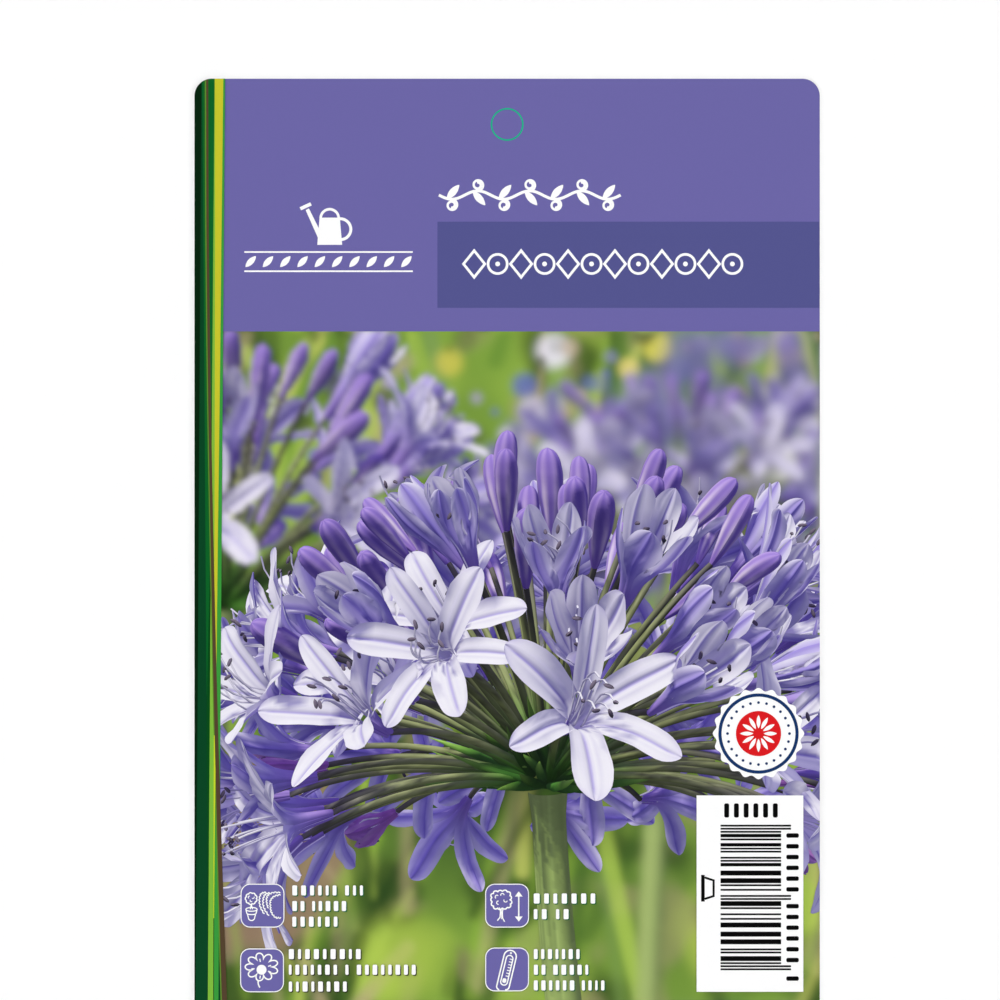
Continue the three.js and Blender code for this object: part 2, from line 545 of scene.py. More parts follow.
def add_scape(sheets, hub, foot, scale):
    """The thick stem that carries a head."""
    count, sides = 170, 44
    path = curve_through(hub, (hub + foot) / 2 + np.array((-1.6, 0, 0)), foot, count)
    swell = 0.5 * ridge(np.linspace(0, 1, count), 0, 0.05)
    skin = tube(path, scale * (np.linspace(2.9, 3.4, count) + swell), sides)
    grain = np.random.default_rng(SCAPE_SEED).normal(0, 0.05, (1, sides + 1))
    colour = SCAPE * (1 + grain * np.ones((count, 1)))[..., None]
    sheets.add("stalks", skin, colour, thin=0.5, solid=True)


def add_umbel(sheets, hub, scale, shape, rng, florets=None):
    """A whole flower head on its own stalks, with buds at its top and open florets around it."""
    count = florets or shape.florets
    c, s = math.cos(HEAD_LEAN), math.sin(HEAD_LEAN)
    tip_forward = np.array(((1, 0, 0), (0, c, s), (0, -s, c)))
    stalk, floret = scale * shape.stalk, scale * shape.floret
    for index in range(count):
        rise = 1 - (index + 0.5) / count * (1 - LOWEST_FLORET)
        spread = math.sqrt(max(0.0, 1 - rise * rise))
        turn = index * GOLDEN_TURN
        way = np.array((spread * math.cos(turn), rise, spread * math.sin(turn)))
        way = unit(way + rng.normal(0, 0.06, 3)) @ tip_forward
        length = stalk * rng.uniform(0.84, 1.10)
        roll = rng.uniform(0, 2 * math.pi)
        ripeness = (1 - rise) * 0.5 + rng.normal(0, 0.07)
        drift = rng.normal(0, 0.16, 3)
        choice = rng.uniform()
        in_front = way[2] > 0.62
        too_low = way[1] * length < -0.20 * stalk
        hides_hub = in_front and way[1] < 0.20 and abs(way[0]) < 0.66
        if too_low or hides_hub or in_front and way[1] < 0.45 and choice > 0.55:
            continue
        end = add_stalk(sheets, hub, way, length, scale, rng)
        nod = np.array((0, -0.14 * smooth(ripeness, 0.3, 0.6), 0.15))
        axes = axes_along(unit(way + drift + nod), roll)
        size = floret * rng.uniform(0.92, 1.08)
        # Buds at the top, half-open florets next, then open ones with a few late buds and spent florets.
        if ripeness < 0.17 and not in_front:
            add_bud(sheets, end, axes, size * rng.uniform(0.56, 0.76), rng)
        elif ripeness < 0.21:
            add_floret(sheets, end, axes, size, rng.uniform(0.12, 0.35), 0.0, rng)
        elif choice > 0.90 and not in_front:
            add_bud(sheets, end, axes, size * rng.uniform(0.60, 0.76), rng)
        elif ripeness > 0.45 and choice > 0.76:
            add_floret(sheets, end, axes, size * 0.8, 0.1, 1.0, rng)
        else:
            add_floret(sheets, end, axes, size, rng.uniform(0.50, 1.0), 0.0, rng)


# ---- light in the picture

SUN_WAY = unit(np.array((-0.36, 0.78, 0.50)))
SUN_LIGHT = np.array((1.83, 1.76, 1.66))
SKY_LIGHT = np.array((0.51, 0.49, 0.86))
GROUND_LIGHT = np.array((0.20, 0.21, 0.22))
PETAL_BOUNCE = np.array((0.30, 0.26, 0.49))  # what comes off a petal that hides the light
SUN_BOUNCE = 0.25  # the share of it where the sun is hidden
SUN_RIM = 0.035  # radius of the sun's disc, in radians
EXPOSURE = 1.14
GLOW_LENGTH = 60.0  # how far away another petal still takes light, in millimetres
CLEAR = 0.30  # rays start this far off their own surface
# Directions of light: on the flower head, on it in a quick build, and on the heads behind it.
RAYS, QUICK_RAYS, FAR_RAYS = 24, 8, 6
LENS_DISTANCE = 300.0  # from the flower head's hub to the lens, in millimetres of print
PICTURE_MIDDLE = (CARD_WIDTH / 2, 103.0)  # what the lens points at
SMALLEST_FACE = 1e-4  # faces that look smaller than this, in square millimetres, are left out


def light_ways(count):
    """Directions over the sun's disc, and over the whole sphere, with the light from each."""
    index = np.arange(count) + 0.5
    rise = 1 - 2 * index / count
    spread = np.sqrt(1 - rise**2)
    turn = index * GOLDEN_TURN
    ways = np.stack((spread * np.cos(turn), rise, spread * np.sin(turn)), axis=1)
    sky = smooth(rise, -0.25, 0.55)
    front = 0.55 + 0.45 * smooth(ways[:, 2], -0.6, 0.6)
    light = mixed(GROUND_LIGHT, SKY_LIGHT, sky) * front[:, None] * (4.0 / count)
    side, other, _ = axes_along(SUN_WAY, 0.0)
    rim = ((0, 0), (1, 0), (-1, 0), (0, 1), (0, -1))
    suns = [unit(SUN_WAY + SUN_RIM * (a * side + b * other)) for a, b in rim]
    sun = [(way, SUN_LIGHT / len(rim), SUN_BOUNCE) for way in suns]
    return sun + [(way, part, 1.0) for way, part in zip(ways, light)]


def tree_of(points, faces):
    return BVHTree.FromPolygons(points.tolist(), faces.tolist())


def unhidden(tree, starts, way, *reach):
    """Marks the starting places from which a ray meets nothing."""
    way = Vector(way)
    hits = (tree.ray_cast(Vector(start), way, *reach)[3] is None for start in starts)
    return np.fromiter(hits, dtype=bool, count=len(starts))


def lit_colours(mesh, tree, wanted, rays):
    """The colour that each wanted point shows to a viewer at +Z."""
    height = mesh.normals[:, 2]
    facing = mesh.normals * np.where(height >= 0, 1.0, -1.0)[:, None]
    front, back = np.zeros_like(mesh.places), np.zeros_like(mesh.places)
    for way, light, bounce in light_ways(rays):
        slope = facing @ way
        start = mesh.places + facing * (np.where(slope >= 0, CLEAR, -CLEAR)[:, None])
        open_sky = np.zeros(len(mesh.places))
        open_sky[wanted] = unhidden(tree, start[wanted], way, GLOW_LENGTH)
        arriving = light * mixed(PETAL_BOUNCE * bounce, (1.0, 1.0, 1.0), open_sky)
        front += np.maximum(slope, 0)[:, None] * arriving
        back += np.maximum(-slope, 0)[:, None] * arriving
    colour = mixed(mesh.outside, mesh.inside, smooth(height, -0.06, 0.06))
    colour = colour * (front + back * mesh.thin[:, None])
    return 1 - np.exp(-EXPOSURE * colour)


def developed(sheets, rays):
    """Lights modelled flowers, and shows where a lens in front of them sees each point."""
    mesh = sheets.joined()
    middle, seen = np.array(at(*PICTURE_MIDDLE)), mesh.places.copy()
    nearer = LENS_DISTANCE / (LENS_DISTANCE - seen[:, 2])
    seen[:, :2] = middle + (seen[:, :2] - middle) * nearer[:, None]
    # Wanted are the points that nothing hides, and all points of the faces they belong to.
    wanted = unhidden(tree_of(seen, mesh.faces), seen + (0, 0, 0.02), (0, 0, 1))
    wanted[mesh.faces[wanted[mesh.faces].any(axis=1)].ravel()] = True
    colours = lit_colours(mesh, tree_of(mesh.places, mesh.faces), wanted, rays)
    corner = seen[mesh.faces][:, :, :2]
    one, two = corner[:, 2] - corner[:, 0], corner[:, 3] - corner[:, 1]
    area = (one[:, 0] * two[:, 1] - one[:, 1] * two[:, 0]) / 2
    solid = np.array([grid.solid for grid in sheets.grids])[mesh.grid_of_face]
    kept = (np.where(solid, area, np.abs(area)) > SMALLEST_FACE) & wanted[mesh.faces].all(axis=1)
    faces, grid_of_face = mesh.faces[kept], mesh.grid_of_face[kept]
    return SimpleNamespace(seen=seen, faces=faces, grid_of_face=grid_of_face, colours=colours)


# ---- the soft garden ground

# Soft clouds of colour: blur, colour, strength, and how dense each is where it starts to show.
CLOUDS = (
    (11, (168, 196, 80), 0.70, 0.55),
    (9, (40, 64, 28), 0.80, 0.54),
    (7, (160, 148, 112), 0.45, 0.60),
)
LEAF_COUNT = 110
LEAF_COLOURS = (
    (178, 206, 88), (146, 184, 66), (98, 138, 52), (52, 88, 34),
    (34, 62, 26), (202, 208, 106), (120, 152, 84), (186, 170, 130),
)
BLOSSOM_COUNT = 60
BLOSSOM_COLOURS = (
    (150, 142, 206), (176, 158, 204), (206, 196, 226), (98, 104, 184),
    (84, 92, 60), (196, 176, 150), (60, 70, 42),
)
# Patches of light and colour: place in the layout, radius, colour and strength.
GARDEN_SPOTS = (
    ((101.0, 66.0), 5.5, (250, 250, 240), 0.95),
    ((96.0, 71.5), 4.0, (246, 248, 226), 0.9),
    ((80.0, 46.5), 3.6, (226, 218, 84), 0.85),
    ((75.0, 50.0), 2.6, (232, 214, 120), 0.8),
    ((62.0, 47.0), 4.2, (238, 232, 246), 0.85),
    ((44.0, 49.0), 3.4, (222, 204, 90), 0.6),
    ((57.0, 53.0), 3.0, (92, 98, 190), 0.75),
    ((92.0, 150.0), 9.0, (190, 204, 92), 0.6),
    ((36.0, 152.0), 11.0, (176, 200, 80), 0.6),
)
# Blurred heads behind: hub from the left and from the head, scale, florets, blur, and dimming.
FAR_HEADS = (
    (97.0, 60.0, 0.34, 46, 4.5, (0.70, 0.68, 0.94)),
    (83.0, 84.0, 0.60, 110, 2.2, (0.97, 0.95, 1.0)),
    (5.0, 92.0, 0.86, 110, 1.2, (0.98, 0.96, 1.0)),
)
GROUND_LEFT = 3.5  # the ground starts here, under the edge stripes
GROUND_STEP = 0.362  # spacing of the ground's grid, in millimetres


def softened(field, blur):
    """A picture blurred by a Gaussian of the given width, in grid steps."""
    down = np.fft.fftfreq(field.shape[0])[:, None]
    right = np.fft.rfftfreq(field.shape[1])[None, :]
    keep = np.exp(-2 * (math.pi * blur) ** 2 * (down**2 + right**2))
    keep = keep.reshape(keep.shape + (1,) * (field.ndim - 2))
    return np.fft.irfft2(np.fft.rfft2(field, axes=(0, 1)) * keep, s=field.shape[:2], axes=(0, 1))


def cloud(shape, blur, rng):
    """A soft random field between about 0 and 1."""
    field = softened(rng.normal(size=shape), blur)
    return np.clip(0.5 + 0.22 * field / field.std(), 0, 1)


def strap(across, up, start, bend, end, width, soft):
    """How much a blurred leaf along a bent line covers each point."""
    path = curve_through(start, bend, end, 9)
    nearest = np.full(across.shape, 1e9)
    for first, second in zip(path[:-1], path[1:]):
        way = second - first
        share = ((across - first[0]) * way[0] + (up - first[1]) * way[1]) / (way @ way)
        share = np.clip(share, 0, 1)
        gap = np.hypot(across - first[0] - way[0] * share, up - first[1] - way[1] * share)
        nearest = np.minimum(nearest, gap)
    return 1 - smooth(nearest, width / 2 - soft, width / 2 + soft)


def around(across, up, place, radius):
    """A soft round patch of the given radius."""
    x, y = at(*place)
    return 1 - smooth(np.hypot(across - x, up - y) / radius, 0.35, 1.0)


def garden(across, up, hub, rng):
    """Leaves, soil, blossom and light far out of focus."""
    shape = across.shape
    colour = mixed(hue(74, 104, 44), hue(124, 158, 62), cloud(shape, 30, rng))
    for blur, shade, strength, start in CLOUDS:
        colour = mixed(colour, hue(*shade), strength * smooth(cloud(shape, blur, rng), start, 0.85))
    soil = around(across, up, (11.0, 133.0), 26.0) + 0.4 * cloud(shape, 8, rng)
    colour = mixed(colour, hue(146, 120, 100), 0.9 * smooth(soil, 0.4, 0.9))
    # Leaves, whose feet lie high up in the picture or below the flower head's hub.
    for _ in range(LEAF_COUNT):
        x = rng.uniform(-5, CARD_WIDTH + 5)
        y = rng.choice((rng.uniform(48, 92), rng.uniform(128, 186)))
        turn = rng.normal(0.10, 0.30)
        length = rng.uniform(22, 52)
        start = np.array(at(x, y))
        end = start + length * np.array((math.sin(turn), math.cos(turn)))
        bend = (start + end) / 2 + rng.normal(0, 3, 2)
        shade = LEAF_COLOURS[rng.integers(len(LEAF_COLOURS))]
        width = rng.uniform(0.8, 3.4)
        cover = strap(across, up, start, bend, end, width, rng.uniform(0.3, 0.9))
        colour = mixed(colour, hue(*shade), cover * rng.uniform(0.35, 0.85))
    for place, radius, shade, strength in GARDEN_SPOTS:
        colour = mixed(colour, hue(*shade), strength * around(across, up, place, radius))
    for _ in range(BLOSSOM_COUNT):
        place = (rng.uniform(4, 108), 44 + 24 * rng.beta(1, 1.6))
        shade = BLOSSOM_COLOURS[rng.integers(len(BLOSSOM_COLOURS))]
        cover = around(across, up, place, rng.uniform(1.0, 3.4))
        colour = mixed(colour, hue(*shade), cover * rng.uniform(0.3, 0.85))
    dim = 0.72 * (1 - smooth(np.hypot((across - hub[0]) / 34, (up - hub[1] - 6) / 22), 0.2, 1.0))
    return mixed(softened(colour, 1.6), hue(18, 46, 20), dim)


def on_the_grid(view, across, up):
    """The colour and cover of flowers at each point of the ground's grid."""
    tree = tree_of(view.seen, view.faces)
    face_colours = view.colours[view.faces].mean(axis=1)
    colour, cover = np.zeros(across.shape + (3,)), np.zeros(across.shape)
    shown = view.seen[view.faces.ravel()]
    low, high = shown.min(axis=0), shown.max(axis=0)
    inside = (across > low[0]) & (across < high[0]) & (up > low[1]) & (up < high[1])
    for row, column in np.argwhere(inside):
        start = Vector((across[row, column], up[row, column], LENS_DISTANCE))
        face = tree.ray_cast(start, Vector((0, 0, -1)))[2]
        if face is not None:
            colour[row, column] = face_colours[face]
            cover[row, column] = 1.0
    return colour, cover


def laid_over(picture, colour, cover, blur):
    """A picture with a blurred layer on top."""
    soft_colour = softened(colour * cover[..., None], blur)
    soft_cover = np.clip(softened(cover, blur), 0, 1)[..., None]
    return picture * (1 - soft_cover) + np.clip(soft_colour, 0, None)


# ---- meshes of ink

MAP_NAME = "OFBake"  # the name of a piece's flat map
MAP_SIZE = 512.0
MAP_GAP = 3.0
MAP_STEP = 6.0  # the largest spacing of a grid's points on the map
MAP_SHRINK = 0.97


def linked(name, data):
    """A new object in the scene."""
    thing = bpy.data.objects.new(name, data)
    bpy.context.scene.collection.objects.link(thing)
    return thing


def new_piece(name, points, faces, material):
    """A new mesh object from points in millimetres, riding on the card."""
    mesh = bpy.data.meshes.new(name)
    mesh.from_pydata((np.asarray(points) * MM).tolist(), [], [list(face) for face in faces])
    mesh.materials.append(material)
    piece = linked(name, mesh)
    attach(piece, "root")
    return piece


def picture_piece(name, points, faces, colours, places):
    """A piece with its own ink at each point, and each point's place on the piece's flat map."""
    mesh = new_piece(name, points, faces, varnished("Picture ink")).data
    layer = mesh.color_attributes.new("Ink", "FLOAT_COLOR", "POINT")
    rgba = np.ones((len(mesh.vertices), 4), dtype=np.float32)
    rgba[:, :3] = np.clip(colours, 0, 1)
    layer.data.foreach_set("color", rgba.ravel())
    flat_map = mesh.uv_layers.new(name=MAP_NAME)
    vertex = np.zeros(len(mesh.loops), dtype=np.int32)
    mesh.loops.foreach_get("vertex_index", vertex)
    flat_map.uv.foreach_set("vector", places[vertex].astype(np.float32).ravel())


def side_by_side(shapes):
    """Lays grids out on one square map, and gives each of their points a place from 0 to 1.

    The grids stand in rows, tallest first, at the largest scale that fits.
    """
    order = sorted(range(len(shapes)), key=lambda k: -shapes[k][0])
    step = MAP_STEP
    while True:
        corners = {}
        x, y, row_height = MAP_GAP, MAP_GAP, 0.0
        for number in order:
            high, wide = (step * (size - 1) for size in shapes[number])
            if x + wide + MAP_GAP > MAP_SIZE:
                x, y, row_height = MAP_GAP, y + row_height + MAP_GAP, 0.0
            corners[number] = (x, y)
            x += wide + MAP_GAP
            row_height = max(row_height, high)
        if y + row_height + MAP_GAP <= MAP_SIZE:
            break
        step *= MAP_SHRINK
    places = []
    for number, (rows, columns) in enumerate(shapes):
        left, foot = corners[number]
        u, v = np.meshgrid(left + step * np.arange(columns), foot + step * np.arange(rows))
        places.append(np.stack((u, v), axis=-1).reshape(-1, 2) / MAP_SIZE)
    return np.concatenate(places)


def crossways(ways):
    """The same ways, turned a quarter."""
    return np.stack((-ways[:, 1], ways[:, 0]), axis=1)


class Films:
    """Flat closed shapes of ink, drawn in the layout and gathered into one piece."""

    def __init__(self, level, lift=0.0):
        """Starts a piece at a level over the card. Each shape stands a lift above the one before."""
        self.bottom = CARD_FACE + level - lift
        self.lift = lift
        self.points = []
        self.faces = []

    def add(self, outline, inner=None, closed=True):
        """Adds the shape that an outline fills, or the strip between it and an inner outline.

        Outlines run against the clock, and the two have as many points. Open strips have two ends.
        """
        self.bottom += self.lift
        low, top = self.bottom, self.bottom + FILM
        rings = [(outline, low), (outline, top)]
        if inner is not None:
            rings += [(inner, top), (inner, low)]
        count, start = len(outline), len(self.points)
        firsts = [start + count * k for k in range(len(rings))]
        for ring, height in rings:
            places = trimmed([at(across, down) for across, down in ring])
            self.points.extend((x, y, height) for x, y in places)
        pairs = [firsts] if inner is None else zip(firsts, firsts[1:] + firsts[:1])
        for a, b in pairs:
            for k in range(count if closed else count - 1):
                after = (k + 1) % count
                self.faces.append((a + k, a + after, b + after, b + k))
        if inner is None:
            self.faces.append(range(start, start + count)[::-1])
            self.faces.append(range(start + count, start + 2 * count))
        elif not closed:
            self.faces.append(firsts)
            self.faces.append([first + count - 1 for first in firsts[::-1]])

    def add_line(self, path, width, closed=False):
        """Adds a line of even width along a path, with mitred bends."""
        path = np.asarray(path, dtype=float)
        before, after = np.roll(path, 1, axis=0), np.roll(path, -1, axis=0)
        if not closed:
            before[0], after[-1] = 2 * path[0] - path[1], 2 * path[-1] - path[-2]
        into, out = unit(path - before), unit(after - path)
        across = unit(crossways(into + out))
        stretch = np.clip((across * crossways(into)).sum(axis=1), 0.5, 1)
        reach = across * (width / 2 / stretch)[:, None]
        self.add(path - reach, path + reach, closed)

    def piece(self, name, slot, ink, colour):
        """Makes the piece, in the named ink of the given colour."""
        return new_piece(name, self.points, self.faces, varnished(ink, colour))

    def white_piece(self, name):
        return self.piece(name, "white_ink", "White ink", bpy.context.scene.label_inks.white)


# ---- outlines


def rectangle(left, top, right, bottom):
    """A rectangle of the layout, against the clock from its lower left corner."""
    return np.array(((left, bottom), (right, bottom), (right, top), (left, top)), dtype=float)


def oval(x, y, across, up, turn):
    """Points around a place of the layout, given how far across and up an oval reaches there."""
    return np.stack((x + across * np.cos(turn), y - up * np.sin(turn)), axis=1)


def circle(x, y, radius, count=48):
    """A circle of the layout."""
    return oval(x, y, radius, radius, whole_turn(count))


def arc(x, y, radius, first, last, count=12):
    """Part of a circle, with angles in degrees against the clock from the right."""
    return oval(x, y, radius, radius, np.radians(np.linspace(first, last, count)))


def rounded(left, top, right, bottom, radius, steps=8):
    """A rectangle of the layout with rounded corners."""
    near, far, low, high = left + radius, right - radius, bottom - radius, top + radius
    corners = ((near, low, 180), (far, low, 270), (far, high, 0), (near, high, 90))
    return np.concatenate([arc(x, y, radius, first, first + 90, steps) for x, y, first in corners])


def leaf(foot, tip, half_width, count=14):
    """A pointed leaf from foot to tip."""
    foot, tip = np.asarray(foot, dtype=float), np.asarray(tip, dtype=float)
    along = tip - foot
    across = np.array((-along[1], along[0])) / np.linalg.norm(along) * half_width
    share = np.linspace(0, 1, count)[:, None]
    bulge = across * np.sin(share * math.pi) ** 0.8
    one, two = foot + along * share - bulge, foot + along * share + bulge
    return np.concatenate((one, two[-2:0:-1]))[::-1]


# ---- materials

DARKEST_MOTTLE = 0.985


def fill(tree, node, inputs):
    """Links a node's inputs to the sockets given for them, and sets those given as values."""
    for key, value in inputs.items():
        if isinstance(value, bpy.types.NodeSocket):
            tree.links.new(value, node.inputs[key])
        else:
            node.inputs[key].default_value = value


def add_node(tree, kind, inputs=(), **settings):
    """Adds a node with its settings and inputs to a tree, and returns its outputs."""
    node = tree.nodes.new(kind)
    for key, value in settings.items():
        setattr(node, key, value)
    fill(tree, node, dict(inputs))
    return node.outputs


def varnish_group():
    """Shared by all inks: the faint mottle of print, and the satin varnish over it."""
    name = "Satin varnish"
    if name in bpy.data.node_groups:
        return bpy.data.node_groups[name]
    group = bpy.data.node_groups.new(name, "ShaderNodeTree")
    sockets = (
        ("Ink", "NodeSocketColor", (0.8, 0.8, 0.8, 1.0)),
        ("Mottle", "NodeSocketFloat", 0.03),
        ("Gloss spread", "NodeSocketFloat", 0.06),
        ("Roughness", "NodeSocketFloat", 0.28),
    )
    for label, kind, value in sockets:
        socket = group.interface.new_socket(label, in_out="INPUT", socket_type=kind)
        socket.default_value = value
    for label, kind in (("Colour", "Color"), ("Roughness", "Float"), ("Height", "Float")):
        group.interface.new_socket(label, in_out="OUTPUT", socket_type=f"NodeSocket{kind}")
    given = add_node(group, "NodeGroupInput")
    place = add_node(group, "ShaderNodeTexCoord")["Object"]
    fine, broad = (
        add_node(group, "ShaderNodeTexNoise", {"Vector": place, "Scale": scale, "Detail": detail})["Fac"]
        for scale, detail in ((2600.0, 2.0), (55.0, 4.0))
    )

    def varied(noise, spread, base):
        inputs = {0: noise, 1: spread, 2: base}
        return add_node(group, "ShaderNodeMath", inputs, operation="MULTIPLY_ADD")[0]

    inked = {0: given["Ink"], "Scale": varied(fine, given["Mottle"], DARKEST_MOTTLE)}
    result = {
        "Colour": add_node(group, "ShaderNodeVectorMath", inked, operation="SCALE")[0],
        "Roughness": varied(broad, given["Gloss spread"], given["Roughness"]),
        "Height": fine,
    }
    add_node(group, "NodeGroupOutput", result)
    return group


def varnished(name, ink=None, roughness=0.28):
    """A print material. With no ink given, the ink is the piece's own colours."""
    material = bpy.data.materials.get(name)
    if material:
        return material
    material = bpy.data.materials.new(name)
    material.use_nodes = True
    tree = material.node_tree
    if ink is None:
        colour = add_node(tree, "ShaderNodeVertexColor", layer_name="Ink")["Color"]
    else:
        colour = material.diffuse_color = (*ink, 1.0)
    given = {"Ink": colour, "Roughness": roughness}
    print_look = add_node(tree, "ShaderNodeGroup", given, node_tree=varnish_group())
    relief = {"Strength": 0.08, "Distance": 0.00002, "Height": print_look["Height"]}
    look = {
        "Base Color": print_look["Colour"],
        "Roughness": print_look["Roughness"],
        "Normal": add_node(tree, "ShaderNodeBump", relief)["Normal"],
        "IOR": 1.45,
        "Specular IOR Level": 0.25,
    }
    fill(tree, tree.nodes["Principled BSDF"], look)
    return material


# ---- operators


class LABEL_OT_finish_card(bpy.types.Operator):
    """Finish the card as white plastic sheet"""

    bl_idname = "label.finish_card"
    bl_label = "Card"

    def execute(self, context):
        materials = bpy.data.objects["label_card"].data.materials
        materials.clear()
        materials.append(varnished("Card stock", context.scene.label_inks.card, roughness=0.45))
        return {"FINISHED"}


class LABEL_OT_print_heading(bpy.types.Operator):
    """Print the heading, the name band and the ring around the hole"""

    bl_idname = "label.print_heading"
    bl_label = "Heading"

    def execute(self, context):
        layout, inks = context.scene.label_layout, context.scene.label_inks
        foot, radius = layout.heading_height, CORNER_RADIUS
        head = (
            arc(CARD_WIDTH - radius, radius, radius, 0, 90, 24),
            arc(radius, radius, radius, 90, 180, 24),
        )
        ground = Films(GROUND_INK)
        ground.add(np.concatenate((((0, foot), (CARD_WIDTH, foot)), *head)))
        ground.piece("heading_ground", "heading_ink", "Heading ink", inks.heading)
        band = Films(HEADING_OVERPRINT)
        band.add(rectangle(layout.band_left, layout.band_top, CARD_WIDTH, layout.band_bottom))
        band.piece("name_band", "heading_ink", "Name band ink", inks.band)
        ring = Films(HEADING_OVERPRINT)
        edges = (HOLE_RADIUS + HOLE_LINE / 2, HOLE_RADIUS - HOLE_LINE / 2)
        ring.add(*(circle(CARD_WIDTH / 2, HOLE_DROP, edge, 96) for edge in edges))
        ring.piece("hole_line", "heading_ink", "Hole line ink", inks.hole_line)
        return {"FINISHED"}


class LABEL_OT_print_ornaments(bpy.types.Operator):
    """Print the white ornaments that stand where a maker would put names"""

    bl_idname = "label.print_ornaments"
    bl_label = "Heading ornaments"

    def execute(self, context):
        title_scroll().white_piece("title_scroll")
        band_ornament().white_piece("band_ornament")
        watering_can().white_piece("watering_can")
        leaf_border().white_piece("leaf_border")
        return {"FINISHED"}


def title_scroll():
    """A vine: a waving stem with a curl and a leaf at each bend."""
    films = Films(HEADING_TOP, LIFT)
    left, right, middle, height, reach = 42.2, 73.6, 20.1, 0.72, 1.02
    bends = 7
    pitch = (right - left) / bends
    share = np.linspace(0, bends, 210)
    stem = np.stack((left + share * pitch, middle + height * np.sin(share * math.pi)), axis=1)
    films.add_line(stem, 0.5)
    turn = np.linspace(0, 1.55 * 2 * math.pi, 48)
    shrink = reach * (1 - 0.62 * turn / turn[-1])
    for bend in range(bends):
        side = -1 if bend % 2 else 1
        root = np.array((left + (bend + 0.5) * pitch, middle + side * height))
        curl = np.stack((np.sin(turn) * shrink, side * (reach - np.cos(turn) * shrink)), axis=1)
        films.add_line(root + curl, 0.4)
        films.add(leaf(root + (-0.9, 0), root + (1.3, -side * 2.5), 0.62))
    return films


def band_ornament():
    """A row of open lozenges and rings."""
    films = Films(HEADING_TOP)
    left, right, middle, half, count = 46.0, 95.2, 32.0, 2.3, 12
    lozenge = np.array(((-0.8, 0), (0, 1), (0.8, 0), (0, -1))) * half
    for index, x in enumerate(np.linspace(left + half, right - half, count)):
        if index % 2:
            films.add_line(circle(x, middle, half * 0.72, 40), 0.45, closed=True)
            films.add(circle(x, middle, 0.42, 16))
        else:
            films.add_line(lozenge + (x, middle), 0.45, closed=True)
    return films


def watering_can():
    """A small watering can."""
    films = Films(HEADING_TOP, LIFT)
    films.add(((21.2, 28.7), (25.5, 28.7), (25.1, 24.0), (21.6, 24.0)))
    films.add(((21.5, 27.9), (21.7, 26.3), (19.75, 22.4), (19.2, 22.7)))
    films.add(((18.4, 22.75), (20.25, 21.9), (20.0, 21.35), (18.15, 22.2)))
    films.add_line(arc(25.2, 26.0, 1.8, -95, 100, 24), 0.5)
    films.add_line(arc(23.35, 24.1, 1.55, 0, 180, 24), 0.45)
    return films


def leaf_border():
    """A row of small leaves between two rules."""
    films = Films(HEADING_TOP)
    left, right, top, bottom, rule = 8.6, 37.7, 29.8, 33.4, 0.28
    films.add(rectangle(left, top, right, top + rule))
    films.add(rectangle(left, bottom - rule, right, bottom))
    for x in np.linspace(left + 1.1, right - 1.1, 10):
        films.add(leaf((x - 0.9, bottom - 0.85), (x + 0.9, top + 0.85), 0.52))
    return films


class LABEL_OT_print_stripes(bpy.types.Operator):
    """Print the long blades of colour down the left edge"""

    bl_idname = "label.print_stripes"
    bl_label = "Edge stripes"

    def execute(self, context):
        bend = CORNER_RADIUS * (1 - np.cos(np.linspace(0, math.pi / 2, 14)))
        straight = np.linspace(CORNER_RADIUS, CARD_HEIGHT - CORNER_RADIUS, 90)[1:-1]
        down = np.concatenate((bend, straight, CARD_HEIGHT - bend[::-1]))
        from_end = np.minimum(np.minimum(down, CARD_HEIGHT - down), CORNER_RADIUS)
        die_line = CORNER_RADIUS - np.sqrt(CORNER_RADIUS**2 - (CORNER_RADIUS - from_end) ** 2)
        for order, (name, shade, top, foot, *sides) in enumerate(STRIPES):
            span = (down >= top) & (down <= foot)
            lines = (np.maximum(flowing(down, STRIPE_ROWS, side), die_line) for side in sides)
            left, right = (np.stack((across, down), axis=1)[span] for across in lines)
            films = Films(OVERPRINT + order * STRIPE_STEP)
            films.add(left, right, closed=False)
            colour = tuple(hue(*shade) * STRIPE_TONE)
            films.piece(f"stripe_{name}", "stripe_ink", f"Stripe ink {name}", colour)
        return {"FINISHED"}


class LABEL_OT_print_care(bpy.types.Operator):
    """Print the care symbols on their tiles, with the lines beside them"""

    bl_idname = "label.print_care"
    bl_label = "Care symbols"

    def execute(self, context):
        layout, inks = context.scene.label_layout, context.scene.label_inks
        size, radius = layout.tile_size, layout.tile_radius
        tiles, frames = Films(OVERPRINT), Films(SECOND_OVERPRINT)
        symbols = Films(THIRD_OVERPRINT, LIFT)
        for (left, top), draw in CARE_TILES:
            right, foot, edge = left + size, top + size, TILE_BORDER
            outer = rounded(left, top, right, foot, radius)
            tiles.add(outer)
            frames.add(outer, rounded(left + edge, top + edge, right - edge, foot - edge, radius - edge))
            draw(symbols, np.array((left, top)))
        tiles.piece("care_tiles", "heading_ink", "Heading ink", inks.heading)
        frames.white_piece("care_tile_frames")
        symbols.white_piece("care_symbols")
        lines = Films(SECOND_OVERPRINT)
        shades = {"shade": Films(OVERPRINT), "dark_shade": Films(OVERPRINT)}
        rng = np.random.default_rng(MARK_SEED)
        for left, top, width, words, shade in CARE_LINES:
            for x, wide in line_marks(left, width, words, rng):
                mark = rounded(x, top, x + wide, top + LINE_HEIGHT, MARK_CORNER, 4)
                lines.add(mark)
                shades[shade].add(mark + SHADE_OFFSET)
        lines.white_piece("care_lines")
        for shade, films in shades.items():
            films.piece(f"care_line_{shade}", "stripe_ink", f"Line {shade}", getattr(inks, shade))
        return {"FINISHED"}


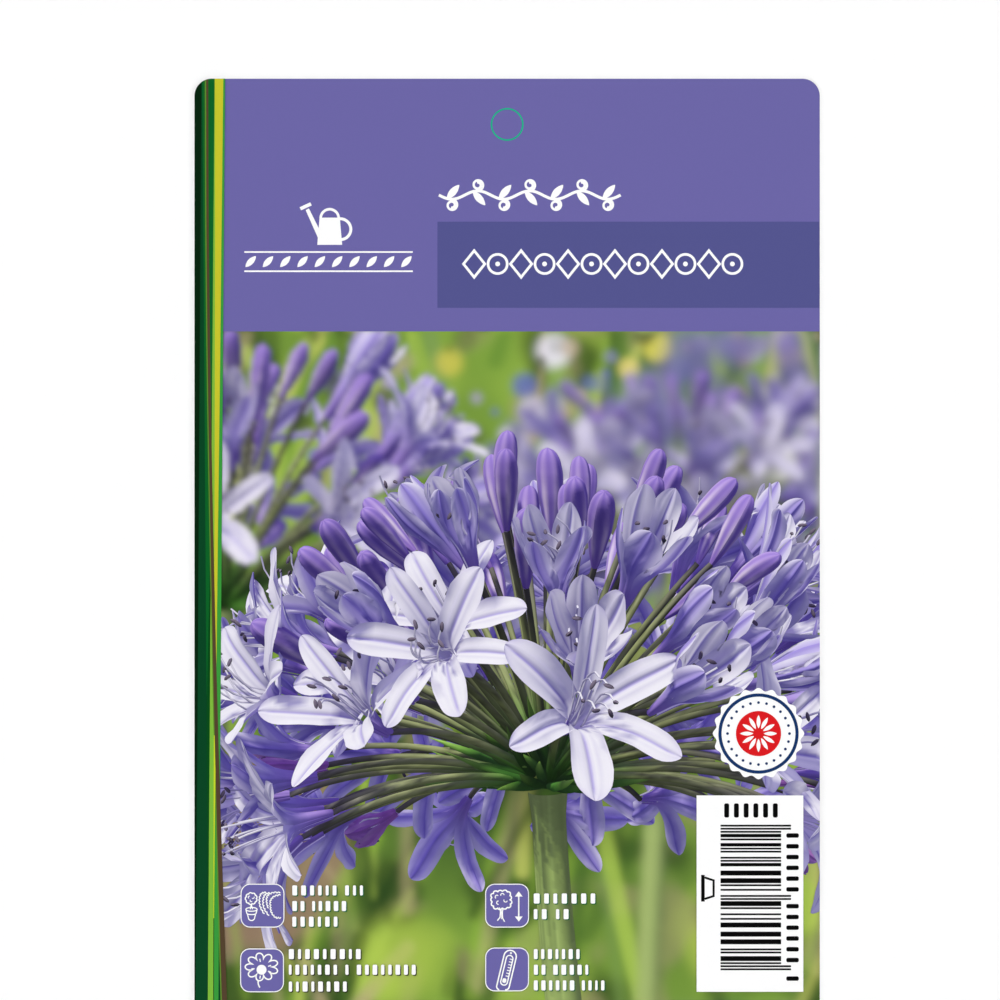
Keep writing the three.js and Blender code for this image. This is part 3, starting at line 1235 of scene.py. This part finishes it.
def line_marks(left, width, words, rng):
    """Places and widths of the plain marks that stand for a printed line."""
    widths = rng.uniform(NARROW_MARK, WIDE_MARK, sum(words))
    gaps = np.full(sum(words), MARK_GAP)
    gaps[np.cumsum(words)[:-1] - 1] = WORD_GAP
    scale = width / (widths.sum() + gaps[:-1].sum())
    starts = left + scale * (np.cumsum(widths + gaps) - widths - gaps)
    return zip(starts, widths * scale)


def crown(x, y, wide, high, lobes, uneven=0.0):
    """The outline of a round tree: rounded bumps around an oval, with four of its sides fuller."""
    turn = whole_turn(120)
    bump = 0.86 + 0.14 * np.abs(np.sin(turn * lobes / 2)) ** 0.7
    bump = bump * (1 + uneven * np.sin(4 * turn - 1.9))
    return oval(x, y, wide * bump, high * bump, turn)


def leafy(stations, lobes, bump=0.17):
    """The edge of a bush: a smooth line down through stations, with rounded bumps to its left."""
    share = np.linspace(0, 1, 12 * lobes + 1)
    rows = np.linspace(0, 1, len(stations))
    line = np.stack([flowing(share, rows, column) for column in zip(*stations)], axis=1)
    away = crossways(unit(np.gradient(line, axis=0)))
    return line + bump * np.abs(np.sin(share * lobes * math.pi))[:, None] * away


def add_twigs(films, place, radius, sweep, steps, width, twigs):
    """Adds short bent lines inside a crown, each with its place and where its sweep starts."""
    for across, down, turn in twigs:
        films.add_line(place + arc(across, down, radius, turn, turn + sweep, steps), width)


def draw_pots(films, place):
    """A small round tree in a pot, beside bushes that stand one behind another."""
    films.add_line(place + crown(1.83, 2.55, 1.03, 1.03, 9), 0.22, closed=True)
    twigs = ((1.50, 2.33, 60), (2.15, 2.35, 210), (1.83, 2.91, 130))
    add_twigs(films, place, 0.2, 190, 6, 0.15, twigs)
    for foot in (1.66, 2.06):
        films.add_line(place + ((1.85, 3.5), (foot, 4.4)), 0.18)
    films.add_line(place + oval(1.88, 4.42, 0.97, 0.33, whole_turn(32)), 0.19, closed=True)
    for top, wide, high, down, edge in ((4.5, 0.80, 0.22, 5.1, 0.95), (5.32, 0.54, 0.48, 5.86, 0.68)):
        bowl = oval(1.88, down, wide, high, np.linspace(math.pi, 2 * math.pi, 16))
        path = np.concatenate((((1.88 - edge, top),), bowl, ((1.88 + edge, top),)))
        films.add_line(place + path, 0.19)
    for stations in BUSH_EDGES:
        films.add_line(place + leafy(stations, 2 * len(stations) - 1), 0.2)


def draw_blossom(films, place):
    """A daisy on its stem."""
    films.add(place + circle(3.69, 3.67, 0.86, 32))
    petals = 9
    turn = whole_turn(petals * 20)
    reach = 1.48 + 1.17 * np.abs(np.sin(turn * petals / 2)) ** 0.55
    films.add_line(place + oval(3.73, 3.19, 1.08 * reach, 0.91 * reach, turn), SYMBOL_LINE, closed=True)
    spoke = np.array((1.2, 1.75))
    for index in range(0, petals, 2):
        way = (index + 0.5) * 2 * math.pi / petals
        films.add_line(place + oval(3.7, 3.5, spoke, spoke, way), 0.2)
    films.add_line(place + arc(4.9, 5.75, 1.8, 172, 214, 8), SYMBOL_LINE)


def draw_tree(films, place):
    """A tree with an arrow for its height."""
    films.add_line(place + crown(2.77, 2.76, 1.92, 1.76, 13, 0.07), SYMBOL_LINE, closed=True)
    twigs = ((2.02, 2.26, 40), (2.97, 1.96, 0), (3.52, 2.86, 150), (2.27, 3.26, 80))
    add_twigs(films, place, 0.3, 200, 8, 0.17, twigs)
    films.add_line(place + ((2.45, 4.1), (2.65, 4.8), (2.55, 5.8), (2.1, 6.35)), 0.2)
    films.add_line(place + ((3.1, 4.2), (2.95, 4.9), (3.0, 5.9), (3.35, 6.55)), 0.2)
    films.add_line(place + ((2.78, 4.4), (2.8, 6.1)), 0.13)
    films.add_line(place + ((5.79, 1.9), (5.79, 5.94)), SYMBOL_LINE)
    films.add(place + ((5.11, 2.2), (6.47, 2.2), (5.79, 1.3)))
    films.add(place + ((6.47, 5.64), (5.11, 5.64), (5.79, 6.54)))


def draw_thermometer(films, place):
    """A thermometer that leans to the right, on a board that is open at its foot."""
    middle = place + (3.73, 3.92)
    c, s = math.cos(math.radians(13.5)), math.sin(math.radians(13.5))
    lean = np.array(((c, s), (-s, c)))
    ends = arc(-0.5, 3.0, 0.57, 270, 180, 6), arc(0.5, 2.75, 0.57, 0, -90, 6)
    board = np.concatenate((ends[0], arc(0, -2.45, 1.07, 180, 0, 14), ends[1]))
    films.add_line(board @ lean + middle, SYMBOL_LINE)
    glass = rounded(-0.58, -2.62, 0.58, 2.62, 0.56, 8)
    films.add_line(glass @ lean + middle, 0.22, closed=True)
    films.add_line(circle(0, -3.04, 0.13, 10) @ lean + middle, 0.13, closed=True)
    films.add(rounded(-0.34, 1.42, 0.34, 2.24, 0.3, 6) @ lean + middle)
    for down in -2.02 + 0.5 * np.arange(7):
        films.add_line(((0.02, down), (0.5, down)) @ lean + middle, 0.17)


# Left and top of each tile, and what draws its symbol.
CARE_TILES = (
    ((7.98, 139.03), draw_pots),
    ((7.90, 150.20), draw_blossom),
    ((50.21, 139.03), draw_tree),
    ((50.21, 150.04), draw_thermometer),
)


class LABEL_OT_print_panel(bpy.types.Operator):
    """Print the white panel with its bars"""

    bl_idname = "label.print_panel"
    bl_label = "Bar panel"

    def execute(self, context):
        layout, inks = context.scene.label_layout, context.scene.label_inks
        panel = Films(OVERPRINT)
        panel.add(rectangle(layout.panel_left, layout.panel_top, layout.panel_right, layout.panel_bottom))
        panel.white_piece("bar_panel")
        bars = Films(SECOND_OVERPRINT)
        for place, wide, right in random_bars():
            bars.add(bar(place, wide, right))
        bars.piece("bars", "black_ink", "Black ink", inks.black)
        marks = Films(SECOND_OVERPRINT)
        for y in SIDE_DIGITS:
            top, foot = y - SIDE_DIGIT_HALF, y + SIDE_DIGIT_HALF
            marks.add(rounded(SIDE_DIGIT_LEFT, top, SIDE_DIGIT_RIGHT, foot, 0.28, 5))
        for x in TOP_DIGITS:
            left, right = x - TOP_DIGIT_HALF, x + TOP_DIGIT_HALF
            marks.add(rounded(left, TOP_DIGIT_HEAD, right, TOP_DIGIT_FOOT, 0.3, 5))
        marks.add(rectangle(*POT_RIM))
        marks.add_line(POT_WALL, 0.36)
        marks.piece("panel_marks", "black_ink", "Black ink", inks.black)
        return {"FINISHED"}


def random_bars():
    """The module where each bar starts, its width in modules, and how far right it reaches."""
    rng = np.random.default_rng(BAR_SEED)
    place = 0
    while place < BAR_MODULES:
        if place in BAR_GUARDS:
            yield place, 1, BARS_GUARD_RIGHT
            place += 2
            continue
        ahead = min(value for value in BAR_GUARDS if value > place)
        wide = min(int(rng.choice((1, 1, 1, 2, 3))), ahead - place - 1)
        if wide > 0:
            yield place, wide, BARS_RIGHT
        place += wide + min(int(rng.choice((1, 1, 2, 3))), ahead - place - wide)


def bar(place, wide, right):
    """The outline of one bar, which lies on its side."""
    module = (BARS_BOTTOM - BARS_TOP) / BAR_MODULES
    start = BARS_TOP + place * module
    end = start + wide * module
    return rectangle(BARS_LEFT, start - BAR_GROWTH / 2, right, end + BAR_GROWTH / 2)


class LABEL_OT_print_seal(bpy.types.Operator):
    """Print the round seal over the bar panel"""

    bl_idname = "label.print_seal"
    bl_label = "Seal"

    def execute(self, context):
        inks, place = context.scene.label_inks, np.array(SEAL_PLACE)
        base, ring, centre = Films(OVERPRINT), Films(SECOND_OVERPRINT), Films(SECOND_OVERPRINT)
        rays = Films(THIRD_OVERPRINT)
        turn = whole_turn(192)
        reach = SEAL_RADIUS - SEAL_WAVE_DEPTH * (0.5 - 0.5 * np.cos(turn * SEAL_WAVES))
        base.add(oval(*place, reach, reach, turn))
        base.white_piece("seal_base")
        ring.add_line(circle(*place, SEAL_RING, 96), 0.55, closed=True)
        for dot in circle(*place, SEAL_DOTS, 24):
            ring.add(circle(*dot, 0.24, 12))
        ring.piece("seal_ring", "black_ink", "Navy ink", inks.navy)
        centre.add(circle(*place, SEAL_CENTRE, 72))
        centre.piece("seal_centre", "black_ink", "Red ink", inks.red)
        for way in circle(0, 0, 1.0, 12):
            rays.add(leaf(place + way * SEAL_RAY_START, place + way * SEAL_RAY_END, 0.34))
        rays.white_piece("seal_rays")
        return {"FINISHED"}


def in_picture(from_left, from_head):
    """A place in the flower picture, at the depth of the flower head's hub."""
    return np.array((*at(from_left, from_head), 0.0))


class LABEL_OT_print_ground(bpy.types.Operator):
    """Print the blurred garden behind the flower head"""

    bl_idname = "label.print_ground"
    bl_label = "Garden ground"

    def execute(self, context):
        layout, shape = context.scene.label_layout, context.scene.label_umbel
        rng = np.random.default_rng(shape.seed + 1)
        left, top = at(GROUND_LEFT, layout.heading_height)
        columns = int((CARD_RIGHT - left) / GROUND_STEP)
        rows = int((top - CARD_FOOT) / GROUND_STEP)
        across, up = np.meshgrid(
            np.linspace(left, CARD_RIGHT, columns), np.linspace(top, CARD_FOOT, rows)
        )
        picture = garden(across, up, in_picture(shape.hub_left, shape.hub_head), rng)
        for from_left, from_head, scale, florets, blur, dim in FAR_HEADS:
            sheets = Sheets()
            hub = in_picture(from_left, from_head)
            add_umbel(sheets, hub, scale, shape, rng, florets)
            add_scape(sheets, hub, hub + (rng.uniform(-8, 8), -90.0, 0), scale)
            colour, cover = on_the_grid(developed(sheets, FAR_RAYS), across, up)
            picture = laid_over(picture, colour * dim, cover, blur)
        points = np.stack((across, up, np.full(across.shape, CARD_FACE + GROUND_INK)), axis=-1)
        points, colours = trimmed(points).reshape(-1, 3), picture.reshape(-1, 3)
        faces = squares(np.arange(rows * columns).reshape(rows, columns))
        picture_piece("garden_ground", points, faces, colours, side_by_side([(rows, columns)]))
        return {"FINISHED"}


def flower_head(shape):
    """The flower head in the round. Petals that are mostly behind its hub are a kind of their own."""
    rng = np.random.default_rng(shape.seed)
    sheets, hub = Sheets(), in_picture(shape.hub_left, shape.hub_head)
    add_umbel(sheets, hub, 1.0, shape, rng)
    add_bracts(sheets, hub, rng)
    add_scape(sheets, hub + (0, -1.0, 0), hub + SCAPE_FOOT, 1.0)
    for grid in sheets.grids:
        if grid.kind == "petals" and grid.points[..., 2].mean() < 0:
            grid.kind = "far_petals"
    return sheets


def pressed(view, heading_foot):
    """Presses what the lens sees flat on the card below the heading, nearest parts on top.

    Returns the points, and the faces that show with the grid of each.
    """
    depth = view.seen[:, 2]
    share = (depth - depth.min()) / (depth.max() - depth.min())
    level = CARD_FACE + FLOWER_INK_LOW + share * (FLOWER_INK_HIGH - FLOWER_INK_LOW)
    free = np.column_stack((view.seen[:, :2], level))
    flat = trimmed(free)
    flat[:, 1] = np.minimum(flat[:, 1], heading_foot)
    moved = np.abs(flat - free).sum(axis=1) > 0
    showing = ~moved[view.faces].all(axis=1)
    return flat, view.faces[showing], view.grid_of_face[showing]


class LABEL_OT_print_umbel(bpy.types.Operator):
    """Model, light and print the flower head"""

    bl_idname = "label.print_umbel"
    bl_label = "Flower head"

    def execute(self, context):
        layout, shape = context.scene.label_layout, context.scene.label_umbel
        sheets = flower_head(shape)
        view = developed(sheets, RAYS)
        flat, faces, grid_of_face = pressed(view, at(0, layout.heading_height)[1])
        kinds = np.array([grid.kind for grid in sheets.grids])
        sizes = [grid.points.shape[:2] for grid in sheets.grids]
        starts = np.concatenate(((0,), np.cumsum([rows * columns for rows, columns in sizes])))
        for kind in sorted(set(kinds)):
            chosen = kinds[grid_of_face] == kind
            grids = np.unique(grid_of_face[chosen])
            owned = np.concatenate([np.arange(starts[k], starts[k + 1]) for k in grids])
            places = np.zeros((len(flat), 2))
            places[owned] = side_by_side([sizes[k] for k in grids])
            used, index = np.unique(faces[chosen], return_inverse=True)
            index = index.reshape(-1, 4)
            picture_piece(f"flower_{kind}", flat[used], index, view.colours[used], places[used])
        return {"FINISHED"}


# ---- the studio

FLOOR_REACH = 2.0
LAMP_REACH, LAMP_HEIGHT, LAMP_SIZE = 2.25, 1.86, 1.8
LENS_LENGTH, SENSOR_WIDTH = 100.0, 36.0


def room(studio):
    """A room that is white low down and dark above, so that the card mirrors no light into the lens."""
    world = bpy.data.worlds.new("Room")
    world.use_nodes = True
    tree = world.node_tree
    way = add_node(tree, "ShaderNodeTexCoord")["Generated"]
    dimmed = {
        "Value": add_node(tree, "ShaderNodeSeparateXYZ", {0: way})["Z"],
        "From Min": 0.13,
        "From Max": 0.24,
        "To Min": studio.fill,
        "To Max": studio.ceiling,
    }
    strength = add_node(tree, "ShaderNodeMapRange", dimmed)[0]
    fill(tree, tree.nodes["Background"], {"Color": (1.0, 1.0, 1.0, 1.0), "Strength": strength})
    return world


def pale_floor(colour):
    """The floor that the card lies on."""
    material = bpy.data.materials.new("Floor")
    material.use_nodes = True
    look = {"Base Color": (*colour, 1.0), "Roughness": 0.9, "Specular IOR Level": 0.1}
    fill(material.node_tree, material.node_tree.nodes["Principled BSDF"], look)
    mesh = bpy.data.meshes.new("floor")
    corners = [(x * FLOOR_REACH, y * FLOOR_REACH, 0) for x, y in ((-1, -1), (1, -1), (1, 1), (-1, 1))]
    mesh.from_pydata(corners, [], [(0, 1, 2, 3)])
    mesh.materials.append(material)
    floor = linked("floor", mesh)


def softbox(index, power):
    """One of four square lamps that stand around the card and point at it."""
    turn = math.radians(90 * index)
    lamp = bpy.data.lights.new(f"softbox_{index}", "AREA")
    lamp.shape = "SQUARE"
    lamp.size = LAMP_SIZE
    lamp.energy = power
    light = linked(lamp.name, lamp)
    light.location = (LAMP_REACH * math.cos(turn), LAMP_REACH * math.sin(turn), LAMP_HEIGHT)
    light.rotation_euler = (-Vector(light.location)).to_track_quat("-Z", "Y").to_euler()


def camera_overhead(studio):
    """A camera that looks straight down on the card and takes in the view's width."""
    lens = bpy.data.cameras.new("camera")
    lens.lens, lens.sensor_width = LENS_LENGTH, SENSOR_WIDTH
    camera = linked("camera", lens)
    height = studio.view_width * MM * LENS_LENGTH / SENSOR_WIDTH + CARD_FACE * MM
    camera.location = (studio.view_across * MM, studio.view_up * MM, height)
    return camera


class LABEL_OT_make_stage(bpy.types.Operator):
    """Set up the floor, the soft lights and the camera"""

    bl_idname = "label.make_stage"
    bl_label = "Stage"

    def execute(self, context):
        studio = context.scene.label_studio
        pale_floor(studio.floor)
        context.scene.world = room(studio)
        for index in range(4):
            softbox(index, studio.softbox)
        context.scene.camera = camera_overhead(studio)
        context.scene.view_settings.view_transform = "Standard"
        return {"FINISHED"}


class LABEL_PT_panel(bpy.types.Panel):
    """Everything that is printed on the label"""

    bl_label = "Plant Label"
    bl_idname = "LABEL_PT_panel"
    bl_space_type = "VIEW_3D"
    bl_region_type = "UI"
    bl_category = "Plant Label"

    def draw(self, context):
        column = self.layout.column()
        for operator in OPERATORS:
            column.operator(operator.bl_idname)
        for name in SETTINGS:
            group = getattr(context.scene, name)
            for key in group.bl_rna.properties.keys():
                if key not in ("rna_type", "name"):
                    column.prop(group, key)


SETTINGS = {
    "label_layout": LabelLayout,
    "label_inks": LabelInks,
    "label_umbel": UmbelShape,
    "label_studio": StudioSettings,
}
OPERATORS = (
    LABEL_OT_finish_card,
    LABEL_OT_print_heading,
    LABEL_OT_print_ornaments,
    LABEL_OT_print_ground,
    LABEL_OT_print_umbel,
    LABEL_OT_print_stripes,
    LABEL_OT_print_care,
    LABEL_OT_print_panel,
    LABEL_OT_print_seal,
    LABEL_OT_make_stage,
)
CLASSES = (*SETTINGS.values(), *OPERATORS, LABEL_PT_panel)


def register():
    for cls in CLASSES:
        bpy.utils.register_class(cls)
    for name, group in SETTINGS.items():
        setattr(bpy.types.Scene, name, PointerProperty(type=group))


def unregister():
    for name in SETTINGS:
        delattr(bpy.types.Scene, name)
    for cls in reversed(CLASSES):
        bpy.utils.unregister_class(cls)


def main():
    register()
    bpy.ops.label.finish_card()
    bpy.ops.label.print_heading()
    bpy.ops.label.print_ornaments()
    bpy.ops.label.print_ground()
    bpy.ops.label.print_umbel()
    bpy.ops.label.print_stripes()
    bpy.ops.label.print_care()
    bpy.ops.label.print_panel()
    bpy.ops.label.print_seal()
    bpy.ops.label.make_stage()


if __name__ == "__main__":
    main()
